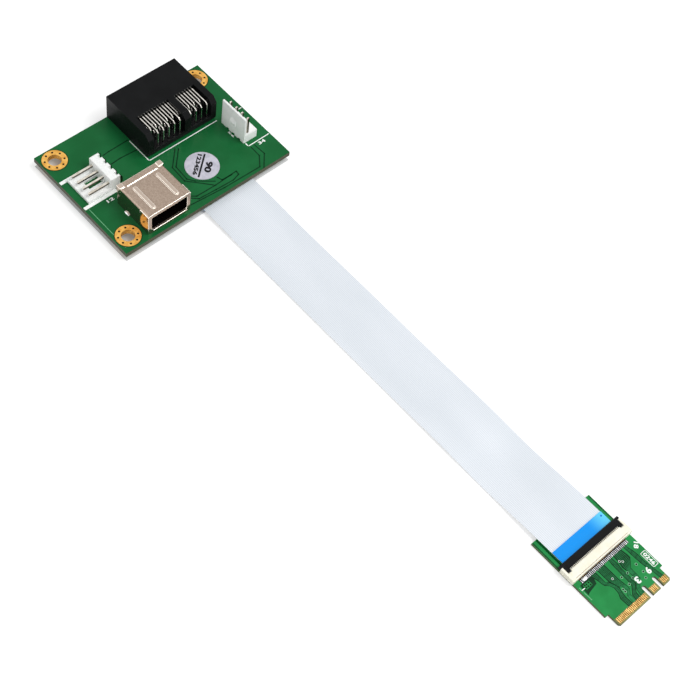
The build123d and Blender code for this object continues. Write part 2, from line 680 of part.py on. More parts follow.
NODES = {
    "main_board": [main_board()],
    "mounting_rings": mounting_rings(),
    "sticker": [sticker()],
    "slot_housing": [slot_housing()],
    "slot_upper_contacts": slot_contacts(True),
    "slot_lower_contacts": slot_contacts(False),
    "usb_shell": [usb_shell()],
    "usb_insulator": [usb_insulator()],
    "usb_contacts": usb_contacts(),
    "power_header_body": [power_header_body()],
    "power_header_pins": power_header_pins(),
    "aux_header_body": [aux_header_body()],
    "aux_header_pins": aux_header_pins(),
    "main_socket_body": [socket_body(MAIN_SOCKET_AT)],
    "main_socket_contacts": socket_fork(MAIN_SOCKET_AT),
    "main_socket_tabs": socket_tabs(MAIN_SOCKET_AT),
    "main_socket_flap": [socket_flap(MAIN_SOCKET_AT)],
    "card_socket_body": [socket_body(CARD_SOCKET_AT)],
    "card_socket_contacts": socket_fork(CARD_SOCKET_AT),
    "card_socket_tabs": socket_tabs(CARD_SOCKET_AT),
    "card_socket_flap": [socket_flap(CARD_SOCKET_AT)],
    "ribbon_cable": [ribbon_cable()],
    "main_stiffener": [stiffener(MAIN_END, MAIN_LEVEL, -1)],
    "card_stiffener": [stiffener(CARD_END - STIFF_L, CARD_LEVEL, 1)],
    "card_board": [card_board()],
    "card_top_fingers": fingers(1, 0),
    "card_bottom_fingers": fingers(2, -CARD_T - FINGER_T),
}

for name, items in NODES.items():
    solids = [solid for item in items for solid in item.solids()]
    export_step(Compound(children=solids) if len(solids) > 1 else solids[0], f"parts/{name}.step")
    print(f"{name}: {len(solids)} solids, {sum(solid.volume for solid in solids):.2f} mm3")

route = cable_path()
print("cable bend radii", [round(radius) for radius in cable_radii()], "mm")
print(f"cable length {route.length:.2f} mm, volume by section {route.length * CABLE_W * FILM_T:.2f} mm3")
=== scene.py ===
import math

import bmesh
import bpy
from mathutils import Matrix, Vector


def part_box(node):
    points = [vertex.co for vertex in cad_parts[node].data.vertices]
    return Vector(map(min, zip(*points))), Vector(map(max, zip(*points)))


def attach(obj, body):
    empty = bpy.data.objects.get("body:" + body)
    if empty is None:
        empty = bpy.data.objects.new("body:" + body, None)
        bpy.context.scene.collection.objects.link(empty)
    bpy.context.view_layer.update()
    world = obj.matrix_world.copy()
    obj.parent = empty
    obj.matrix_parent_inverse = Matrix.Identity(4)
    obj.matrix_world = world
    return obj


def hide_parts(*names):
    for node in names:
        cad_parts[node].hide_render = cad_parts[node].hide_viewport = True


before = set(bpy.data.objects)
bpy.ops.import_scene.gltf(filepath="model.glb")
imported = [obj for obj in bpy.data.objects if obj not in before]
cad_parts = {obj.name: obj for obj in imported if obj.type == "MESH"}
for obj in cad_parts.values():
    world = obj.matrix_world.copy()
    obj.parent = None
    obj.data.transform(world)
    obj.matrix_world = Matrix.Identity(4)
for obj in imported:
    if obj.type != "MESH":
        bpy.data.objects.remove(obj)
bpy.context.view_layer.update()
millimetre = 0.001
boardLow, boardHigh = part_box("main_board")
cardLow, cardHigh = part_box("card_board")
cableLow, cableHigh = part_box("ribbon_cable")
cableY = (cableLow[1] + cableHigh[1]) / 2
cardY = (cardLow[1] + cardHigh[1]) / 2


# Shader maths

class Wire:                                         # one output socket, with maths on it
    def __init__(self, tree, socket=None):
        self.tree = tree
        self.socket = socket

    def add(self, kind, settings=None, inputs=None, output=0):
        node = self.tree.nodes.new(kind)
        for name, value in (settings or {}).items():
            setattr(node, name, value)
        for name, value in (inputs or {}).items():
            if isinstance(value, Wire):
                self.tree.links.new(value.socket, node.inputs[name])
            else:
                node.inputs[name].default_value = value
        return Wire(self.tree, node.outputs[output])

    def math(self, operation, first, second=0.0):
        return self.add("ShaderNodeMath", {"operation": operation}, {0: first, 1: second})

    def __add__(self, other):
        return self.math("ADD", self, other)

    def __sub__(self, other):
        return self.math("SUBTRACT", self, other)

    def __rsub__(self, other):
        return self.math("SUBTRACT", other, self)

    def __mul__(self, other):
        return self.math("MULTIPLY", self, other)

    def __gt__(self, other):
        return self.math("GREATER_THAN", self, other)

    def __lt__(self, other):
        return self.math("LESS_THAN", self, other)

    def __abs__(self):
        return self.math("ABSOLUTE", self)

    __radd__ = __add__
    __rmul__ = __mul__

    def wave(self, pitch):                          # 0 to 1 and back over each pitch
        return self.math("SINE", self * (2 * math.pi / pitch)) * 0.5 + 0.5

    def blend(self, low, high):                     # self is the factor between two colours
        return self.add("ShaderNodeMix", {"data_type": "RGBA"}, {0: self, 6: low, 7: high}, output=2)

    def spread(self, low, high):                    # self from low to high becomes 0 to 1
        return self.add("ShaderNodeMapRange", {"interpolation_type": "SMOOTHSTEP"},
                        {0: self, 1: low, 2: high, 3: 0.0, 4: 1.0})

    def contrast(self):                             # noise or a wave with its middle values drawn apart
        return self.spread(0.3, 0.7)

    def place(self):                                # object coordinates
        return self.add("ShaderNodeTexCoord", output="Object")

    def axes(self, vector):
        node = self.add("ShaderNodeSeparateXYZ", inputs={0: vector}).socket.node
        return [Wire(self.tree, node.outputs[i]) for i in range(3)]

    def along(self, axis, share=0.5):               # 1 where the surface faces up or down an axis
        facing = self.add("ShaderNodeTexCoord", output="Normal")
        return abs(self.axes(facing)[axis]) > share

    def grain(self, size, detail=2.0, stretch=(1.0, 1.0, 1.0)):
        spot = self.add("ShaderNodeMapping", {"vector_type": "POINT"}, {"Vector": self.place(), "Scale": stretch})
        return self.add("ShaderNodeTexNoise", inputs={"Vector": spot, "Scale": 1.0 / size, "Detail": detail})

    def relief(self, height, depth, normal=None):
        inputs = {"Height": height, "Distance": depth, "Strength": 1.0}
        if normal:
            inputs["Normal"] = normal
        return self.add("ShaderNodeBump", inputs=inputs)

    def softEdge(self, radius, samples):
        return self.add("ShaderNodeBevel", {"samples": samples}, {"Radius": radius})

    def cornerShare(self, edge, least=0.004, most=0.06):     # 1 on corners, where an edge colour is painted; 0 on the faces between them
        face = self.add("ShaderNodeNewGeometry", output="Normal")
        match = self.add("ShaderNodeVectorMath", {"operation": "DOT_PRODUCT"}, {0: edge, 1: face}, output="Value")
        return (1.0 - match).spread(least, most)

    def rays(self):                                 # 1 where seen straight, mirrored or through clear matter
        paths = self.add("ShaderNodeLightPath").socket.node.outputs
        seen, mirrored, through = [Wire(self.tree, paths[name]) for name in
                                   ("Is Camera Ray", "Is Glossy Ray", "Is Transmission Ray")]
        return seen + mirrored + through


def tone(red, green, blue):                         # screen values 0 to 255, made linear
    def linear(value):
        share = value / 255
        return share / 12.92 if share <= 0.04045 else ((share + 0.055) / 1.055) ** 2.4
    return (linear(red), linear(green), linear(blue), 1.0)


def newFinish(name, settings):
    material = bpy.data.materials.new(name)
    material.use_nodes = True
    tree = material.node_tree
    surface = tree.nodes["Principled BSDF"]
    for socket, value in settings.items():
        surface.inputs[socket].default_value = value
    surface.inputs["Subsurface Radius"].default_value = (1.0, 1.0, 1.0)
    return material, Wire(tree), surface


def feed(wire, surface, socket):
    wire.tree.links.new(wire.socket, surface.inputs[socket])


# Finishes

fibreLook = {"across": 0.0004, "stretch": (1.0, 1.0, 3.0), "plyShare": 0.6, "grit": 0.0002, "gritShare": 0.5}


def boardFinish(name, look):                        # mask over the weave on both faces, plies on the cut edge
    material, wire, surface = newFinish(name, {"Roughness": look["gloss"], "Coat Weight": look["coat"],
                                               "Coat Roughness": 0.12, "Specular IOR Level": look["shine"]})
    mottle = wire.grain(look["mottle"], detail=3.0)
    mask = mottle.contrast().blend(look["maskDark"], look["mask"])
    x, y, z = wire.axes(wire.place())
    if "bareFrom" in look:                          # no mask beyond this place
        mask = (x > look["bareFrom"]).blend(mask, mottle.blend(look["edgeDark"], look["bare"]))
    fibres = wire.grain(fibreLook["across"], stretch=fibreLook["stretch"])
    plies = z.wave(look["ply"]) * fibreLook["plyShare"] + fibres * (1.0 - fibreLook["plyShare"])
    edge = plies.contrast().blend(look["edgeDark"], look["edge"])
    feed(wire.along(2).blend(edge, mask), surface, "Base Color")
    weave = x.wave(look["weave"]) * y.wave(look["weave"]) * (1.0 - fibreLook["gritShare"])
    grit = wire.grain(fibreLook["grit"]) * fibreLook["gritShare"]
    feed(wire.relief(weave + grit, look["relief"]), surface, "Normal")
    return material


def plainFinish(name, look):                        # moulded, plated, soldered or printed, with a fine grain
    material, wire, surface = newFinish(name, {"Metallic": look.get("metal", 0.0),
                                               "Subsurface Weight": look.get("milky", 0.0),
                                               "Subsurface Scale": 0.0008,
                                               "Specular IOR Level": look.get("shine", 0.5)})
    cloud = wire.grain(look["cloud"], detail=3.0).contrast()
    colour = cloud.blend(look["dark"], look["light"])
    rough = cloud * (look["rough"] - look["smooth"]) + look["smooth"]
    edge = wire.softEdge(look["edge"], look.get("samples", 4)) if "edge" in look else None
    if "raisedHighlight" in look:                         # painted highlight on everything that stands above a height
        raised = wire.axes(wire.place())[2] > look["above"]
        colour = raised.blend(colour, look["raisedHighlight"])
    # painted colour along corners: a highlight for the black moulding and the shell, a dark shade line on contacts,
    # fingers and tails
    if "paintedEdge" in look:
        colour = wire.cornerShare(edge).blend(colour, look["paintedEdge"])
    if "sideShade" in look:                           # painted shade on the faces that look along one axis
        colour = wire.along(look["axis"], share=0.7).blend(colour, look["sideShade"])
    if "inside" in look:                            # painted shade on the walls within a box
        within = 1.0
        for side, low, high in zip(wire.axes(wire.place()), *look["inside"]):
            within = (side > low) * (side < high) * within
        colour = within.blend(colour, look["shadeTone"])
    if "sides" in look:                             # more gloss on the upright faces
        rough = rough * (wire.along(2) * (1.0 - look["sides"]) + look["sides"])
    feed(colour, surface, "Base Color")
    feed(rough, surface, "Roughness")
    feed(wire.relief(wire.grain(look["grain"]), look["relief"], edge), surface, "Normal")
    return material


tinLook = {"dark": tone(212, 208, 200), "light": tone(240, 236, 228), "cloud": 0.001, "smooth": 0.14,
           "rough": 0.24, "grain": 0.0003, "relief": 0.000001, "metal": 1.0}
goldLook = {"dark": tone(222, 162, 74), "light": tone(244, 192, 104), "cloud": 0.0012, "smooth": 0.22,
            "rough": 0.34, "grain": 0.0002, "relief": 0.000002, "metal": 1.0}
usbLow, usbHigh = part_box("usb_insulator")
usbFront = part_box("usb_shell")[1][0]
shellLook = {"raised": 0.00798,                     # height over the board of the beads and the rear strap
             "rear": 0.0002, "slack": 0.0001, "lip": 0.0009}    # room round the insulator, depth of the front lip left out of the painted shade
shellShadeBox = ((usbLow[0] - shellLook["rear"], usbLow[1] - shellLook["slack"], usbLow[2] - shellLook["slack"]),
               (usbFront - shellLook["lip"], usbHigh[1] + shellLook["slack"], usbHigh[2] + shellLook["slack"]))
finishes = {
    "mainBoard": boardFinish("mainBoardMask", {
        "mask": tone(22, 103, 54), "maskDark": tone(14, 92, 45), "edge": tone(84, 82, 54),
        "edgeDark": tone(40, 48, 30), "mottle": 0.009, "ply": 0.0002, "weave": 0.0009, "relief": 0.000002,
        "gloss": 0.36, "coat": 0.03, "shine": 0.12}),
    "card": boardFinish("cardMask", {
        "mask": tone(32, 142, 72), "maskDark": tone(22, 126, 60), "edge": tone(104, 104, 62),
        "edgeDark": tone(44, 58, 30), "mottle": 0.006, "ply": 0.0002, "weave": 0.0007, "relief": 0.000002,
        "gloss": 0.34, "coat": 0.03, "shine": 0.12, "bareFrom": cardHigh[0] - 0.00215,
        "bare": tone(184, 178, 112)}),
    # painted highlight along the edges
    "black": plainFinish("blackMoulding", {
        "dark": tone(9, 10, 11), "light": tone(15, 16, 17), "cloud": 0.006, "smooth": 0.34, "rough": 0.46,
        "grain": 0.00012, "relief": 0.000003, "edge": 0.00012, "shine": 0.09, "paintedEdge": tone(30, 31, 34)}),
    "cream": plainFinish("creamMoulding", {
        "dark": tone(244, 239, 216), "light": tone(253, 250, 232), "cloud": 0.003, "smooth": 0.4, "rough": 0.5,
        "grain": 0.0001, "relief": 0.000003, "edge": 0.00008, "shine": 0.3, "milky": 0.3}),
    "white": plainFinish("whiteNylon", {
        "dark": tone(244, 249, 246), "light": tone(252, 254, 252), "cloud": 0.003, "smooth": 0.35, "rough": 0.48,
        "grain": 0.00015, "relief": 0.000004, "edge": 0.0001, "shine": 0.3, "milky": 0.5}),
    # painted highlight on the corners and on the raised beads and strap; painted shade on the walls within the
    # shell
    "shell": plainFinish("nickelSheet", {
        "dark": tone(156, 138, 123), "light": tone(176, 158, 143), "cloud": 0.0004, "smooth": 0.34, "rough": 0.42,
        "grain": 0.0002, "relief": 0.0000006, "edge": 0.00028, "samples": 12, "metal": 1.0,
        "paintedEdge": tone(252, 244, 232), "raisedHighlight": tone(190, 174, 160), "above": boardHigh[2] + shellLook["raised"],
        "shadeTone": tone(40, 36, 32), "sides": 0.3, "inside": shellShadeBox}),
    "tin": plainFinish("tinPlate", tinLook),
    # painted shade on the blades' sides and a dark painted line along their corners
    "blade": plainFinish("tinBlade", {
        **tinLook, "axis": 1, "sideShade": tone(24, 24, 23), "edge": 0.00018, "samples": 8,
        "paintedEdge": tone(70, 69, 66)}),
    # painted shade on the sides that face along X
    "pin": plainFinish("tinPin", {
        **tinLook, "dark": tone(206, 198, 184), "light": tone(236, 230, 220), "axis": 0,
        "sideShade": tone(88, 80, 66)}),
    "gold": plainFinish("goldPlate", goldLook),
    # painted shade on the sides that face along X
    "fork": plainFinish("goldFork", {**goldLook, "axis": 0, "sideShade": tone(62, 42, 24)}),
    # dark painted shade line along the finger edges
    "finger": plainFinish("paleGoldPlate", {
        "dark": tone(184, 146, 84), "light": tone(210, 174, 110), "cloud": 0.0012, "smooth": 0.2, "rough": 0.3,
        "grain": 0.0002, "relief": 0.000001, "metal": 1.0, "edge": 0.00011, "paintedEdge": tone(90, 46, 10)}),
    # dark painted shade line along the edges of the solder bars
    "tail": plainFinish("solderedTail", {
        "dark": tone(196, 197, 200), "light": tone(226, 227, 230), "cloud": 0.0006, "smooth": 0.16, "rough": 0.3,
        "grain": 0.0003, "relief": 0.000001, "metal": 1.0, "edge": 0.00006, "paintedEdge": tone(70, 68, 66)}),
    # painted shade on the tails next to the housing
    "root": plainFinish("tailRootShade", {
        "dark": tone(50, 36, 24), "light": tone(70, 54, 40), "cloud": 0.0006, "smooth": 0.5, "rough": 0.6,
        "grain": 0.0003, "relief": 0.000001, "shine": 0.1}),
    "viaPad": plainFinish("coveredPad", {
        "dark": tone(110, 178, 132), "light": tone(126, 192, 146), "cloud": 0.001, "smooth": 0.3, "rough": 0.4,
        "grain": 0.0002, "relief": 0.000001, "shine": 0.2}),
    # painted shadow line at the foot of the socket's rear step
    "stepShadow": plainFinish("shadedSeam", {
        "dark": tone(132, 112, 92), "light": tone(156, 136, 114), "cloud": 0.001, "smooth": 0.5, "rough": 0.6,
        "grain": 0.0002, "relief": 0.000001, "shine": 0.1}),
    "solder": plainFinish("reflowedSolder", {
        "dark": tone(214, 215, 216), "light": tone(244, 245, 246), "cloud": 0.0006, "smooth": 0.16, "rough": 0.3,
        "grain": 0.0003, "relief": 0.000004, "metal": 1.0}),
    "print": plainFinish("whitePrint", {
        "dark": tone(240, 244, 240), "light": tone(252, 253, 252), "cloud": 0.0006, "smooth": 0.5, "rough": 0.65,
        "grain": 0.0001, "relief": 0.000003}),
    "ink": plainFinish("blackInk", {
        "dark": tone(14, 14, 18), "light": tone(26, 26, 30), "cloud": 0.0006, "smooth": 0.5, "rough": 0.6,
        "grain": 0.0001, "relief": 0.000002, "shine": 0.2}),
    "foil": plainFinish("satinFoil", {
        "dark": tone(184, 184, 196), "light": tone(204, 202, 214), "cloud": 0.0015, "smooth": 0.34, "rough": 0.46,
        "grain": 0.0003, "relief": 0.000004, "metal": 0.25, "shine": 0.3}),
    "gap": plainFinish("bareGap", {
        "dark": tone(0, 44, 20), "light": tone(2, 54, 26), "cloud": 0.002, "smooth": 0.4, "rough": 0.5,
        "grain": 0.0002, "relief": 0.000002, "shine": 0.1}),
    "cardGap": plainFinish("cardBareMask", {
        "dark": tone(0, 48, 22), "light": tone(3, 58, 28), "cloud": 0.002, "smooth": 0.4, "rough": 0.5,
        "grain": 0.0002, "relief": 0.000002, "shine": 0.1}),
    "cardTrace": plainFinish("cardTraceMask", {
        "dark": tone(28, 122, 66), "light": tone(40, 136, 78), "cloud": 0.002, "smooth": 0.35, "rough": 0.45,
        "grain": 0.0002, "relief": 0.000002, "shine": 0.12}),
    "fingerGap": plainFinish("bareFingerGap", {
        "dark": tone(60, 22, 2), "light": tone(80, 34, 6), "cloud": 0.001, "smooth": 0.4, "rough": 0.5,
        "grain": 0.0002, "relief": 0.000002, "shine": 0.1}),
    # painted shade: near black for holes and for the shade under the socket rows
    "hollow": plainFinish("paintedHollowShade", {
        "dark": tone(10, 9, 7), "light": tone(22, 18, 12), "cloud": 0.001, "smooth": 0.6, "rough": 0.8,
        "grain": 0.0002, "relief": 0.000002, "shine": 0.1}),
    "blueDot": plainFinish("stiffenerDot", {
        "dark": tone(14, 104, 190), "light": tone(22, 120, 206), "cloud": 0.001, "smooth": 0.3, "rough": 0.4,
        "grain": 0.0002, "relief": 0.000002, "shine": 0.3}),
}


def cableFinish(look):
    material, wire, surface = newFinish("cableFilm", {"Coat Weight": 0.2, "Coat Roughness": 0.2})
    lanes = (wire.axes(wire.place())[1] - look["centre"]).wave(look["pitch"])
    haze = wire.grain(look["haze"], stretch=look["hazeStretch"]).contrast()
    ground = haze.blend(look["film"], look["filmLight"])
    feed((lanes.spread(*look["laneEdge"]) * look["show"]).blend(ground, look["lane"]), surface, "Base Color")
    feed(haze * look["rougher"] + look["gloss"], surface, "Roughness")
    feed(wire.relief(lanes, look["relief"]), surface, "Normal")
    return material


def stiffenerFinish(look):
    material, wire, surface = newFinish("blueStiffener", {"Coat Weight": 0.1, "Coat Roughness": 0.08,
                                                         "Specular IOR Level": 0.2})
    aside = wire.axes(wire.place())[1] - look["centre"]
    # painted highlight: the blue turns light cyan across the film towards +Y
    feed(aside.spread(look["highlightFrom"], look["highlightTo"]).blend(look["blue"], look["highlightTint"]), surface, "Base Color")
    feed(wire.grain(look["haze"]) * look["rougher"] + look["gloss"], surface, "Roughness")
    feed(wire.relief(aside.wave(look["pitch"]), look["relief"]), surface, "Normal")
    return material


# Places on the two boards

def onBoard(x, y, height=0.0):                      # from the outer -Y corner of the main board's top
    return Vector((boardLow[0] + x * millimetre, boardLow[1] + y * millimetre,
                   boardHigh[2] + height * millimetre))


def underBoard(x, y, height=0.0):                   # the same places on its underside
    return Vector((boardLow[0] + x * millimetre, boardLow[1] + y * millimetre,
                   boardLow[2] - height * millimetre))


def onCard(x, y, height=0.0):                       # from the middle of the plug card's tip
    return Vector((cardHigh[0] + x * millimetre, cardY + y * millimetre, cardHigh[2] + height * millimetre))


def underCard(x, y, height=0.0):                    # the same places on its underside
    return Vector((cardHigh[0] + x * millimetre, cardY + y * millimetre, cardLow[2] - height * millimetre))


def outward(spot):                                  # 1 where a face looks up, -1 where it looks down
    return -1 if spot in (underBoard, underCard) else 1


def keepPiece(bm, name, finish, body="riser", smooth=False):
    bmesh.ops.recalc_face_normals(bm, faces=bm.faces)
    mesh = bpy.data.meshes.new(name)
    bm.to_mesh(mesh)
    bm.free()
    mesh.materials.append(finish)
    if smooth:
        mesh.shade_smooth()
    piece = bpy.data.objects.new(name, mesh)
    bpy.context.scene.collection.objects.link(piece)
    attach(piece, body)
    return piece


def addRun(bm, start, end, width, thick):           # flat bar from start to end, its foot at their height
    run = end - start
    turn = Matrix.Rotation(math.atan2(run.y, run.x), 4, "Z")
    size = Matrix.Diagonal((run.length + width, width, abs(thick), 1.0))
    middle = (start + end) / 2 + Vector((0, 0, thick / 2))
    bmesh.ops.create_cube(bm, size=1.0, matrix=Matrix.Translation(middle) @ turn @ size)


def addCone(bm, foot, radius, top, height, sides=16):
    flip = Matrix.Rotation(math.pi, 4, "X") if height < 0 else Matrix()
    bmesh.ops.create_cone(bm, cap_ends=True, segments=sides, radius1=radius * millimetre, radius2=top * millimetre,
                          depth=abs(height) * millimetre,
                          matrix=Matrix.Translation(foot + Vector((0, 0, height * millimetre / 2))) @ flip)


def addDisc(bm, foot, radius, height, sides=24):
    addCone(bm, foot, radius, radius, height, sides)


def vertsOf(parts):
    return [part for part in parts if isinstance(part, bmesh.types.BMVert)]


def raiseFaces(bm, faces, height):                  # flat faces become a plate
    raised = bmesh.ops.extrude_face_region(bm, geom=faces)["geom"]
    bmesh.ops.translate(bm, vec=(0, 0, height * millimetre), verts=vertsOf(raised))


def addAnnulus(bm, foot, inner, outer, height, sides=48):
    rings = []
    for radius in (inner, outer):
        made = bmesh.ops.create_circle(bm, segments=sides, radius=radius * millimetre,
                                       matrix=Matrix.Translation(foot))["verts"]
        rings += list({edge for vert in made for edge in vert.link_edges})
    raiseFaces(bm, bmesh.ops.bridge_loops(bm, edges=rings)["faces"], height)


def addSheet(bm, left, right, height):              # flat strip between two edges with as many points each
    rows = [(bm.verts.new(a), bm.verts.new(b)) for a, b in zip(left, right)]
    raiseFaces(bm, [bm.faces.new((a, b, d, c)) for (a, b), (c, d) in zip(rows, rows[1:])], height)


def lines(name, spot, paths, width, finish, thick=0.012):    # flat bars along paths on one face
    bm = bmesh.new()
    for path in paths:
        for start, end in zip(path, path[1:]):
            addRun(bm, spot(*start), spot(*end), width * millimetre, outward(spot) * thick * millimetre)
    return keepPiece(bm, name, finish)


def drops(name, places, size, around=20, upward=10):    # solder, each drop the upper half of a ball
    bm = bmesh.new()
    for place in places:
        shape = Matrix.Translation(place) @ Matrix.Diagonal((*size, 1.0))
        bmesh.ops.create_uvsphere(bm, u_segments=around, v_segments=upward, radius=millimetre, matrix=shape)
    bmesh.ops.bisect_plane(bm, geom=bm.verts[:] + bm.edges[:] + bm.faces[:], plane_co=places[0],
                           plane_no=(0, 0, 1), clear_inner=True)
    return keepPiece(bm, name, finishes["solder"], smooth=True)


digitLook = {"steps": 3, "over": 0.014}             # points to a curve, and height over the face


def numbers(name, spot, rows, bold, finish):  # each row: digits, centre, turn, height and length
    bm = bmesh.new()
    for text, centre, turn, height, length in rows:
        curve = bpy.data.curves.new(name, "FONT")
        curve.body = text
        curve.resolution_u = digitLook["steps"]
        curve.offset = bold
        holder = bpy.data.objects.new(name, curve)
        bpy.context.scene.collection.objects.link(holder)
        glyphs = bpy.data.meshes.new_from_object(holder)
        bpy.data.objects.remove(holder)
        xs, ys = [v.co.x for v in glyphs.vertices], [v.co.y for v in glyphs.vertices]
        middle = Matrix.Translation((-(min(xs) + max(xs)) / 2, -(min(ys) + max(ys)) / 2, 0))
        size = Matrix.Diagonal((length / (max(xs) - min(xs)) * millimetre,
                                height / (max(ys) - min(ys)) * millimetre, 1.0, 1.0))
        place = Matrix.Translation(spot(*centre)) @ Matrix.Rotation(math.radians(turn), 4, "Z")
        glyphs.transform(place @ size @ middle)
        bm.from_mesh(glyphs)
    bmesh.ops.translate(bm, vec=(0, 0, digitLook["over"] * millimetre), verts=bm.verts)
    return keepPiece(bm, name, finish)


# Camera

cameraLook = {"place": (0.135635, -0.179135, 0.344206), "lens": 77.53, "sensor": 36.0, "nearest": 0.01,
              "right": (0.67134076, 0.73213257, 0.11525403),
              "up": (-0.66355952, 0.5244784, 0.53348962),
              "back": (0.33013687, -0.43463124, 0.83791726)}
cameraData = bpy.data.cameras.new("camera")
cameraData.lens = cameraLook["lens"]
cameraData.sensor_width = cameraLook["sensor"]
cameraData.clip_start = cameraLook["nearest"]
cameraObject = bpy.data.objects.new("camera", cameraData)
bpy.context.scene.collection.objects.link(cameraObject)
turned = Matrix((cameraLook["right"], cameraLook["up"], cameraLook["back"])).transposed().to_4x4()
cameraObject.matrix_world = Matrix.Translation(cameraLook["place"]) @ turned
bpy.context.scene.camera = cameraObject
bpy.context.scene.view_settings.view_transform = "Standard"
print("camera placed")

# Flat cable: one smooth curve through its route, made a ribbon

cable = {"width": 0.0185, "thick": 0.00015, "length": 0.1544, "pitch": 0.0005,
         "steps": 12, "order": 3, "square": 1e-9,   # square: slack of the edge that lies straight across
         "route": [(-0.0683, 0.001175), (-0.0535, 0.001175), (-0.038, 0.00035), (-0.0121, 0.0006),
                   (0.016, 0.0003), (0.036, 0.00095), (0.053, 0.00005), (0.0712, 0.001665), (0.086, 0.001665)]}


def cableCurve():
    curve = bpy.data.curves.new("cableRoute", "CURVE")
    curve.dimensions = "3D"
    curve.resolution_u = cable["steps"]
    spline = curve.splines.new("NURBS")
    spline.points.add(len(cable["route"]) - 1)
    for point, (x, z) in zip(spline.points, cable["route"]):
        point.co = (x, cableY, z, 1.0)
    spline.order_u = cable["order"]
    spline.use_endpoint_u = True
    holder = bpy.data.objects.new("cableRoute", curve)
    bpy.context.scene.collection.objects.link(holder)
    line = bpy.data.meshes.new_from_object(holder)
    path = [vertex.co.copy() for vertex in line.vertices]
    bpy.data.objects.remove(holder)
    return path


def ribbonCable():
    path = cableCurve()
    bm = bmesh.new()
    half = Vector((0, cable["width"] / 2, 0))
    ends = [bm.verts.new(path[0] - half), bm.verts.new(path[0] + half)]
    edge = bm.edges.new(ends)
    for before, after in zip(path, path[1:]):
        grown = bmesh.ops.extrude_edge_only(bm, edges=[edge])["geom"]
        bmesh.ops.translate(bm, vec=after - before, verts=vertsOf(grown))
        edge = [part for part in grown if isinstance(part, bmesh.types.BMEdge) and len(part.link_faces) == 1
                and abs(part.verts[0].co.x - part.verts[1].co.x) < cable["square"]][0]     # the one straight across
    bmesh.ops.recalc_face_normals(bm, faces=bm.faces)
    bmesh.ops.solidify(bm, geom=bm.faces[:], thickness=cable["thick"])
    middle = sum((v.co.z for v in bm.verts), 0.0) / len(bm.verts) - sum((p.z for p in path), 0.0) / len(path)
    bmesh.ops.translate(bm, vec=(0, 0, -middle), verts=bm.verts)
    return path, bm


path, ribbon = ribbonCable()
filmLook = {"centre": cableY, "pitch": cable["pitch"], "film": tone(224, 230, 236),
            "filmLight": tone(232, 237, 243), "lane": tone(200, 207, 216), "laneEdge": (0.35, 0.75), "show": 0.6,
            "haze": 0.012, "hazeStretch": (0.3, 1.0, 1.0), "gloss": 0.36, "rougher": 0.08, "relief": 0.000012}
ribbonPiece = keepPiece(ribbon, "ribbonCable", cableFinish(filmLook))
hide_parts("ribbon_cable")
print("cable laid")

# Finishes of the solid parts

stiffenerLook = {"centre": cableY, "blue": tone(0, 148, 240), "highlightTint": tone(104, 212, 250), "highlightFrom": 0.003,
                 "highlightTo": 0.0098, "haze": 0.002, "gloss": 0.18, "rougher": 0.1, "pitch": cable["pitch"],
                 "relief": 0.000006}
finishes["blue"] = stiffenerFinish(stiffenerLook)
dressed = {
    "main_board": "mainBoard", "card_board": "card", "mounting_rings": "gold", "card_top_fingers": "finger",
    "card_bottom_fingers": "finger", "sticker": "foil", "slot_housing": "black", "slot_upper_contacts": "blade",
    "slot_lower_contacts": "blade", "usb_shell": "shell", "usb_insulator": "black", "usb_contacts": "gold",
    "power_header_body": "white", "power_header_pins": "pin", "aux_header_body": "white", "aux_header_pins": "pin",
    "main_socket_body": "cream", "main_socket_contacts": "fork", "main_socket_tabs": "tin",
    "main_socket_flap": "black", "card_socket_body": "cream", "card_socket_contacts": "fork",
    "card_socket_tabs": "tin", "card_socket_flap": "black", "main_stiffener": "blue", "card_stiffener": "blue"}
for node, finish in dressed.items():
    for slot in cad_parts[node].material_slots:
        slot.material = finishes[finish]
print("finishes on", len(dressed), "nodes")

# Main board: print, gaps in the copper, rings and solder

boardMarks = {
    "edgeLines": [[(24.0, 1.25), (40.4, 1.25)]], "edgeWidth": 0.16, "copperHeight": 0.006,
    "gapWidth": 0.36, "barWidth": 1.1, "lineWidth": 0.3, "bold": 0.035,
    "gaps": [
        [(21.3, 34.1), (26.3, 29.1), (32.15, 28.8), (38.3, 34.5)],
        [(21.9, 34.9), (26.7, 30.1), (32.0, 29.75), (34.0, 31.2), (37.5, 35.7)],
        [(37.2, 26.4), (38.5, 28.1), (38.65, 34.9), (38.3, 42.9), (39.6, 42.7)],
        [(37.6, 25.9), (39.6, 28.0), (40.0, 34.0), (40.3, 40.2), (39.6, 42.7)],
        [(39.9, 24.7), (40.9, 36.4), (41.2, 49.4), (37.9, 52.0), (34.2, 52.1)],
        [(42.1, 50.2), (38.2, 53.7), (34.1, 53.5)],
        [(36.7, 37.1), (38.3, 37.6), (38.5, 41.1)],
        [(10.9, 16.2), (10.7, 18.3), (10.6, 25.2)],
        [(14.8, 16.1), (14.6, 19.4), (15.0, 25.2)],
        [(9.8, 15.9), (12.5, 14.6)],
    ],
    "slotLines": [[(20.3, 50.45), (20.3, 25.45), (11.3, 25.45)]],
    "auxLines": [[(32.2, 51.75), (33.35, 51.75), (33.3, 59.5)], [(20.8, 58.7), (20.75, 59.6)]],
    "bars": [[(11.95, 0.8), (11.95, 11.0)], [(23.1, 0.8), (23.1, 11.0)]],
    "numbers": [("12", (24.85, 8.0), 90, 1.05, 2.3), ("34", (34.4, 55.95), 90, 1.1, 2.4),
                ("56", (26.9, 50.6), 0, 0.6, 2.6)],
}
for name, spot in (("boardCopperGaps", onBoard), ("underCopperGaps", underBoard)):
    lines(name, spot, boardMarks["gaps"], boardMarks["gapWidth"], finishes["gap"],
          boardMarks["copperHeight"])
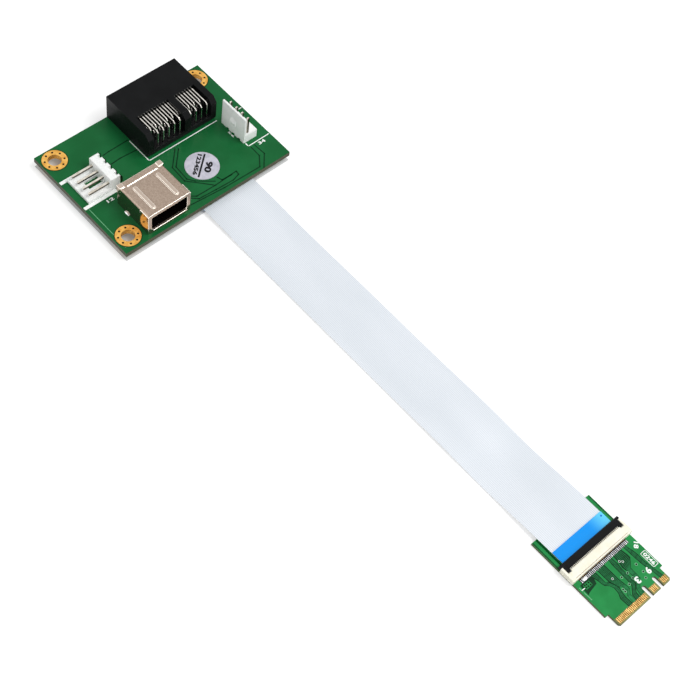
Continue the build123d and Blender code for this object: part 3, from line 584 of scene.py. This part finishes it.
lines("boardCopperEdge", onBoard, boardMarks["edgeLines"], boardMarks["edgeWidth"], finishes["viaPad"],
      boardMarks["copperHeight"])
lines("boardPrintLines", onBoard, boardMarks["slotLines"] + boardMarks["auxLines"], boardMarks["lineWidth"],
      finishes["print"])
lines("boardPrintBars", onBoard, boardMarks["bars"], boardMarks["barWidth"], finishes["print"])
numbers("boardNumbers", onBoard, boardMarks["numbers"], boardMarks["bold"], finishes["print"])

labelLook = {"face": 0.1, "rule": [(28.2, 39.45), (33.4, 32.95)], "ruleWidth": 0.55, "bold": 0.05,
             "rows": [("90", (32.35, 37.45, 0.1), -51.3, 2.1, 4.2),
                      ("123456", (29.75, 35.45, 0.1), -51.3, 1.35, 7.9)]}
rule = [(x, y, labelLook["face"]) for x, y in labelLook["rule"]]
lines("labelRule", onBoard, [rule], labelLook["ruleWidth"], finishes["ink"])
numbers("labelNumbers", onBoard, labelLook["rows"], labelLook["bold"], finishes["ink"])

ringLook = {"centres": [(4.1, 4.2), (37.7, 4.2), (4.1, 55.8)], "count": 8, "circle": 2.85, "hole": 0.32,
            "holeHeight": 0.01, "holeSides": 16, "plate": 0.06, "inner": 3.7, "outer": 3.95, "height": 0.006}


def ringStitchHoles():                              # small plated holes in a circle round each mounting hole, each drawn as a disc of painted shade
    bm = bmesh.new()
    for x, y in ringLook["centres"]:
        for i in range(ringLook["count"]):
            angle = 2 * math.pi * (i + 0.5) / ringLook["count"]
            place = x + ringLook["circle"] * math.cos(angle), y + ringLook["circle"] * math.sin(angle)
            for spot in (onBoard, underBoard):
                addDisc(bm, spot(*place, ringLook["plate"]), ringLook["hole"],
                        outward(spot) * ringLook["holeHeight"], ringLook["holeSides"])
    return keepPiece(bm, "ringStitchHoles", finishes["hollow"])


def ringEdgeShade():                                # painted shade round the plating, drawn as a dark ring at the mask's edge
    bm = bmesh.new()
    for x, y in ringLook["centres"]:
        for spot in (onBoard, underBoard):
            addAnnulus(bm, spot(x, y), ringLook["inner"], ringLook["outer"], outward(spot) * ringLook["height"])
    return keepPiece(bm, "ringEdgeShade", finishes["gap"])


ringStitchHoles()
ringEdgeShade()

jointLook = {"foot": 0.85, "top": 0.4, "height": 0.7, "tailFoot": 0.55, "tailTop": 0.26, "tailHeight": 0.6,
             "tailSides": 12, "tailRows": [(18.7, 16.7), (14.7, 12.7)],
             "slotRow": [28.85 + i for i in range(11)] + [41.85 + i for i in range(7)],
             "powerAt": (17.45, 14.6), "auxAt": (27.1, 53.0), "pitch": 2.54, "steps": (-1.5, -0.5, 0.5, 1.5),
             "usbAt": (28.15, 16.2), "usbPins": (-3.5, -1.0, 1.0, 3.5),
             "legs": [(31.35, 9.0), (31.35, 23.4)], "legFoot": 1.5}


def solderJoints():                                 # a cone of solder round every pin under the main board
    bm = bmesh.new()
    for odd, even in jointLook["tailRows"]:
        for i, y in enumerate(jointLook["slotRow"]):
            addCone(bm, underBoard(even if i % 2 == 0 else odd, y), jointLook["tailFoot"], jointLook["tailTop"],
                    -jointLook["tailHeight"], jointLook["tailSides"])
    pins = [(x + step * jointLook["pitch"], y) for x, y in (jointLook["powerAt"], jointLook["auxAt"])
            for step in jointLook["steps"]]
    pins += [(jointLook["usbAt"][0], jointLook["usbAt"][1] + y) for y in jointLook["usbPins"]]
    for x, y in pins:
        addCone(bm, underBoard(x, y), jointLook["foot"], jointLook["top"], -jointLook["height"])
    for x, y in jointLook["legs"]:
        addCone(bm, underBoard(x, y), jointLook["legFoot"], jointLook["foot"], -jointLook["height"])
    return keepPiece(bm, "solderJoints", finishes["solder"])


solderJoints()

filletLook = {"aside": (-0.3, 0.3), "size": (1.05, 0.36, 0.34)}    # solder beside the shell's legs, on the top
drops("legFillets", [onBoard(x, y + aside) for (x, y), aside in zip(jointLook["legs"], filletLook["aside"])],
      filletLook["size"])
print("board marks done")

# Plug card: bare bands with fine traces, via rings, print, solder on the socket's tails

cardMarks = {
    "bands": [                                      # two edges with as many points, and the number of fine traces
        ([(-13.95, 7.75), (-12.9, 7.8), (-11.8, 8.1), (-10.3, 8.3), (-8.5, 8.2), (-7.1, 8.35), (-5.0, 8.6),
          (-2.05, 9.1)],
         [(-13.95, 6.85), (-12.8, 6.9), (-11.4, 6.95), (-9.8, 7.0), (-8.2, 7.1), (-6.8, 7.25), (-5.0, 7.75),
          (-2.05, 8.0)], 3),
        ([(-13.95, 5.85), (-12.0, 6.15), (-11.0, 6.15), (-10.0, 5.2), (-8.85, 4.0), (-7.0, 3.95), (-5.4, 3.85),
          (-4.4, 2.6), (-3.7, 1.9), (-2.05, 1.85)],
         [(-13.95, 2.9), (-11.8, 2.75), (-10.3, 2.4), (-9.5, 2.5), (-8.9, 2.75), (-7.1, 2.8), (-6.0, 2.95),
          (-4.8, 1.6), (-4.0, 0.9), (-2.05, 0.35)], 6),
        ([(-13.95, 2.15), (-11.75, 2.3), (-10.1, 2.0), (-8.45, 2.0), (-6.5, 2.0), (-5.2, 1.9), (-4.3, 0.9),
          (-3.4, 0.1), (-2.05, 0.0)],
         [(-13.95, 1.2), (-12.6, 0.9), (-10.9, 0.87), (-8.8, 0.84), (-6.2, 0.73), (-5.3, 0.5), (-4.5, -0.3),
          (-3.5, -1.3), (-2.05, -1.4)], 3),
        ([(-13.95, -0.75), (-11.1, -0.72), (-8.6, -0.74), (-7.7, -0.6), (-7.0, -0.5), (-6.2, -0.45), (-5.3, -0.45),
          (-4.0, -1.55), (-2.05, -1.6)],
         [(-13.95, -3.3), (-11.75, -3.3), (-9.9, -3.25), (-8.4, -2.7), (-7.2, -2.3), (-6.9, -1.55), (-5.4, -1.35),
          (-4.3, -2.3), (-2.05, -2.55)], 6),
        ([(-13.95, -4.05), (-12.1, -4.05), (-10.3, -4.1), (-9.9, -3.25), (-8.4, -2.7), (-7.2, -2.3), (-5.9, -2.7),
          (-4.2, -2.95), (-2.05, -2.8)],
         [(-13.95, -5.9), (-12.1, -5.3), (-10.6, -5.1), (-9.9, -4.9), (-9.0, -3.9), (-7.9, -3.5), (-6.2, -3.67),
          (-4.85, -4.4), (-2.05, -4.25)], 3),
        ([(-13.95, -5.9), (-12.9, -5.6), (-11.6, -6.1), (-11.3, -7.9), (-11.1, -9.2), (-10.9, -9.7)],
         [(-13.95, -9.85), (-13.0, -9.9), (-12.4, -9.95), (-11.8, -10.0), (-11.3, -10.0), (-10.7, -10.0)], 0)],
    "bandHeight": 0.004, "traceWidth": 0.12, "traceHeight": 0.006, "bandEdge": 0.13, "edgeHeight": 0.008,
    "padBlock": [[(-12.8, -8.55, 0.004), (-12.8, -7.75, 0.004)]], "blockWidth": 1.4, "copperHeight": 0.005,
    "edgeLines": [[(-13.6, -10.45), (-12.2, -10.4), (-9.4, -10.3)]], "edgeWidth": 0.18,
    "armLines": [[(-18.6, 10.72), (-29.7, 10.72)], [(-18.6, 9.5), (-29.7, 9.5)],
                 [(-18.6, -10.72), (-29.7, -10.72)], [(-18.6, -9.5), (-29.7, -9.5)]], "armWidth": 0.28,
    "rings": [(-11.94, 3.08), (-11.36, 3.74), (-9.87, -1.92)],
    "vias": [(-8.58, 5.92), (-8.43, 2.34), (-8.6, 0.24), (-6.05, 0.36), (-6.13, -1.95), (-5.39, -1.97),
             (-6.06, 5.84), (-4.48, 5.05), (-6.6, 2.4)],
    "pads": [(-13.16, -7.49), (-13.12, -8.26), (-12.42, -7.46), (-13.2, -8.87), (-12.46, -8.25), (-12.55, -8.88)],
    "ringInner": 0.22, "ringRadius": 0.31, "ringHeight": 0.02, "viaRadius": 0.41, "padRadius": 0.25,
    "padHeight": 0.012, "holeRadius": 0.26, "holeOver": 0.02, "holeHeight": 0.009, "ringSides": 16, "holeSides": 12,
    "frame": [[(-9.8, 8.95), (-9.8, 10.7), (-5.1, 10.7), (-5.1, 8.95), (-9.8, 8.95)]], "frameWidth": 0.16,
    "dash": [[(-12.75, -10.35), (-12.7, -9.45)]], "dashWidth": 0.24, "dashHeight": 0.016,
    "numbers": [("18", (-12.2, 9.95), -48, 1.3, 1.9), ("0246", (-7.45, 9.8), 0, 1.1, 3.9)], "bold": 0.035,
    "bigNumbers": [("9", (-5.45, 7.1), -90, 1.95, 1.3), ("3", (-5.4, 2.9), -90, 1.95, 1.3)], "bigBold": 0.04,
}


def cardBands():                                    # the last band is a plain patch without darker edges
    bm = bmesh.new()
    for right, left, count in cardMarks["bands"]:
        addSheet(bm, [onCard(*p) for p in left], [onCard(*p) for p in right], cardMarks["bandHeight"])
    keepPiece(bm, "cardBareBands", finishes["cardGap"])
    sides = [side for right, left, count in cardMarks["bands"][:-1] for side in (right, left)]
    lines("cardBandEdges", onCard, sides, cardMarks["bandEdge"], finishes["gap"],
          cardMarks["edgeHeight"])


def cardTraces():                                   # evenly between the two edges of each band
    paths = []
    for right, left, count in cardMarks["bands"]:
        for i in range(count):
            share = (i + 1) / (count + 1)
            paths.append([(a[0] + (b[0] - a[0]) * share, a[1] + (b[1] - a[1]) * share, cardMarks["bandHeight"])
                          for a, b in zip(left, right)])
    return lines("cardTraces", onCard, paths, cardMarks["traceWidth"], finishes["cardTrace"],
                 cardMarks["traceHeight"])


def cardRings(name, places, inner, outer, height, finish):   # like rings on both faces
    bm = bmesh.new()
    for spot in (onCard, underCard):
        for x, y in cardMarks[places]:
            addAnnulus(bm, spot(x, y), cardMarks[inner], cardMarks[outer], outward(spot) * cardMarks[height],
                       cardMarks["ringSides"])
    return keepPiece(bm, name, finish)


def cardVias():                                     # through the card, so on both of its faces; the dark discs are painted shade
    cardRings("cardViaPads", "vias", "holeRadius", "viaRadius", "padHeight", finishes["viaPad"])
    cardRings("cardViaRings", "rings", "ringInner", "ringRadius", "ringHeight", finishes["print"])
    bm = bmesh.new()
    for spot in (onCard, underCard):
        for x, y in cardMarks["vias"] + cardMarks["rings"]:
            addDisc(bm, spot(x, y), cardMarks["holeRadius"] + cardMarks["holeOver"],
                    outward(spot) * cardMarks["holeHeight"], cardMarks["holeSides"])
        for x, y in cardMarks["pads"]:
            addDisc(bm, spot(x, y), cardMarks["padRadius"], outward(spot) * cardMarks["padHeight"],
                    cardMarks["holeSides"])
    return keepPiece(bm, "cardViaHoles", finishes["hollow"])


cardBands()
cardTraces()
for name, paths, width, finish in (("cardArmGaps", "armLines", "armWidth", "cardGap"),
                                   ("cardPadBlock", "padBlock", "blockWidth", "card"),
                                   ("cardCopperEdge", "edgeLines", "edgeWidth", "viaPad")):
    lines(name, onCard, cardMarks[paths], cardMarks[width], finishes[finish],
          cardMarks["copperHeight"])
cardVias()
lines("cardPrintFrame", onCard, cardMarks["frame"], cardMarks["frameWidth"], finishes["print"])
lines("cardPrintDash", onCard, cardMarks["dash"], cardMarks["dashWidth"], finishes["print"],
      cardMarks["dashHeight"])
numbers("cardNumbers", onCard, cardMarks["numbers"], cardMarks["bold"], finishes["print"])
numbers("cardBigNumbers", onCard, cardMarks["bigNumbers"], cardMarks["bigBold"], finishes["print"])

socketLook = {"count": 36, "pitch": 0.5, "cardRear": -15.3, "mainRear": 33.0,
              "rootFrom": 0.02, "tailFrom": 0.33, "tailTo": 1.35, "tailWidth": 0.21, "tailHeight": 0.19,
              "combFrom": 2.88, "combTo": 3.36, "combWidth": 0.2, "combLow": 1.2, "combTop": 1.74,
              "stepShadowAt": 0.46, "stepShadowPast": 0.9, "stepShadowWidth": 0.1, "stepShadowHeight": 1.65, "stepShadowThick": 0.006,
              "shadeTo": 3.4, "shade": 1.13, "ground": 0.003}


def onSocketPlace(spot, u, v, height=0.0):          # u from the rear face to the mouth, v across
    if spot is onCard:
        return socketLook["cardRear"] - u, v, height
    return socketLook["mainRear"] + u, (cableY - boardLow[1]) / millimetre + v, height


def onSocket(spot, u, v, height=0.0):
    return spot(*onSocketPlace(spot, u, v, height))


def acrossSocket(name, spot, u0, u1, low, high, width, places, finish):      # a row of like bars
    bm = bmesh.new()
    for v in places:
        start, end = onSocket(spot, u0 + width / 2, v, low), onSocket(spot, u1 - width / 2, v, low)
        addRun(bm, start, end, width * millimetre, outward(spot) * (high - low) * millimetre)
    return keepPiece(bm, name, finish)


def socketDetail(name, spot):                       # solder on the tails, painted shade over the tails next to the housing, comb, a painted shadow line at the rear step, and painted shade under both rows
    half = socketLook["count"] * socketLook["pitch"] / 2
    ways = [(i + 0.5) * socketLook["pitch"] - half for i in range(socketLook["count"])]
    walls = [i * socketLook["pitch"] - half for i in range(socketLook["count"] + 1)]
    acrossSocket(name + "TailSolder", spot, -socketLook["tailTo"], -socketLook["tailFrom"], 0,
                 socketLook["tailHeight"], socketLook["tailWidth"], ways, finishes["tail"])
    # painted shade: dark bars over the tails next to the housing
    acrossSocket(name + "TailRootShade", spot, -socketLook["tailFrom"], -socketLook["rootFrom"], 0,
                 socketLook["tailHeight"], socketLook["tailWidth"], ways, finishes["root"])
    acrossSocket(name + "Comb", spot, socketLook["combFrom"], socketLook["combTo"], socketLook["combLow"],
                 socketLook["combTop"], socketLook["combWidth"], walls, finishes["cream"])
    # painted shadow line at the foot of the rear step
    stepShadowEnd = half + socketLook["stepShadowPast"]
    stepShadow = [onSocketPlace(spot, socketLook["stepShadowAt"], v, socketLook["stepShadowHeight"]) for v in (-stepShadowEnd, stepShadowEnd)]
    lines(name + "Seam", spot, [stepShadow], socketLook["stepShadowWidth"], finishes["stepShadow"],
          socketLook["stepShadowThick"])
    bm = bmesh.new()
    for u0, u1, low in ((-socketLook["tailTo"], 0.0, 0.0),
                        (socketLook["combFrom"], socketLook["shadeTo"], socketLook["shade"])):
        left, right = [[onSocket(spot, u, v, low) for u in (u0, u1)] for v in (-half, half)]
        addSheet(bm, left, right, outward(spot) * socketLook["ground"])
    keepPiece(bm, name + "Shade", finishes["hollow"])


socketDetail("cardSocket", onCard)
socketDetail("mainSocket", underBoard)

fingerLook = {"from": -2.0, "to": -0.45, "pitch": 0.5, "width": 0.15, "thick": 0.004, "keys": (6.625, 2.625),
              "clear": 1.2, "top": (9.25, 38), "bottom": (9.0, 37)}


def fingerGaps(name, spot, first, count):           # bare strips between the fingers of one face
    places = [first - (i + 0.5) * fingerLook["pitch"] for i in range(count - 1)]
    places = [y for y in places if all(abs(y - key) > fingerLook["clear"] for key in fingerLook["keys"])]
    ends = fingerLook["from"] + fingerLook["width"] / 2, fingerLook["to"] - fingerLook["width"] / 2
    return lines(name, spot, [[(ends[0], y), (ends[1], y)] for y in places], fingerLook["width"],
                 finishes["fingerGap"], fingerLook["thick"])


fingerGaps("fingerGaps", onCard, *fingerLook["top"])
fingerGaps("underFingerGaps", underCard, *fingerLook["bottom"])

blobLook = {"at": (-14.55, -7.35), "size": (0.62, 0.95, 0.24)}
drops("cardSolderBlob", [onCard(*blobLook["at"])], blobLook["size"])

dotLook = {"at": (8.31, 8.4, 1.1), "radius": 0.3, "thick": 0.01}


def stiffenerMark():                                # round mark on the blue film
    bm = bmesh.new()
    addDisc(bm, onSocket(onCard, *dotLook["at"]), dotLook["radius"], dotLook["thick"])
    return keepPiece(bm, "stiffenerMark", finishes["blueDot"])


stiffenerMark()
print("card marks done")

# Floor, world and lamps

black, white = tone(0, 0, 0), tone(255, 255, 255)
floorLook = {"size": 10.0, "shade": 0.6, "lift": 0.55, "under": 0.12, "near": 0.3, "far": 0.6}


def floorFinish():                                  # lit from itself, so that it stays white round the soft shadow
    grey = (floorLook["shade"],) * 3 + (1.0,)
    material, wire, surface = newFinish("floor", {"Base Color": grey, "Roughness": 0.9, "Specular IOR Level": 0.0,
                                                  "Emission Strength": 1.0})
    x, y = wire.axes(wire.place())[:2]
    lift = floorLook["lift"]                        # less of it in the board's own shade, seen through its holes
    covered = (x > boardLow[0]) * (x < boardHigh[0]) * (y > boardLow[1]) * (y < boardHigh[1])
    away = (x * x + y * y).spread(floorLook["near"] ** 2, floorLook["far"] ** 2)    # all white farther out
    level = wire.rays() * (covered * (floorLook["under"] - lift) + away * (1.0 - lift) + lift)
    feed(level.blend(black, white), surface, "Emission Color")
    return material


def layFloor():
    bm = bmesh.new()
    bmesh.ops.create_grid(bm, x_segments=1, y_segments=1, size=floorLook["size"])
    mesh = bpy.data.meshes.new("floor")
    bm.to_mesh(mesh)
    bm.free()
    mesh.materials.append(floorFinish())
    floor = bpy.data.objects.new("floor", mesh)
    bpy.context.scene.collection.objects.link(floor)


layFloor()

worldLook = {"level": 0.42}                         # light on the object; 1 where it is seen or mirrored
world = bpy.data.worlds.new("studio")
world.use_nodes = True
bpy.context.scene.world = world
background = world.node_tree.nodes["Background"]
background.inputs["Color"].default_value = white
sky = Wire(world.node_tree)
feed(sky.rays() * (1.0 - worldLook["level"]) + worldLook["level"], background, "Strength")

lamps = {
    "key": {"place": (0.35, 0.35, 0.9), "size": 0.6, "power": 6.7},
    "fill": {"place": (-0.5, -0.5, 0.6), "size": 0.6, "power": 1.0},
    "front": {"place": (0.6, -0.6, 0.3), "size": 0.4, "power": 1.6},
}
for name, look in lamps.items():
    light = bpy.data.lights.new(name, "AREA")
    light.shape = "DISK"
    light.size = look["size"]
    light.energy = look["power"]
    lamp = bpy.data.objects.new(name, light)
    lamp.location = look["place"]
    lamp.rotation_euler = (-Vector(look["place"])).to_track_quat("-Z", "Y").to_euler()
    bpy.context.scene.collection.objects.link(lamp)
print("stage lit")
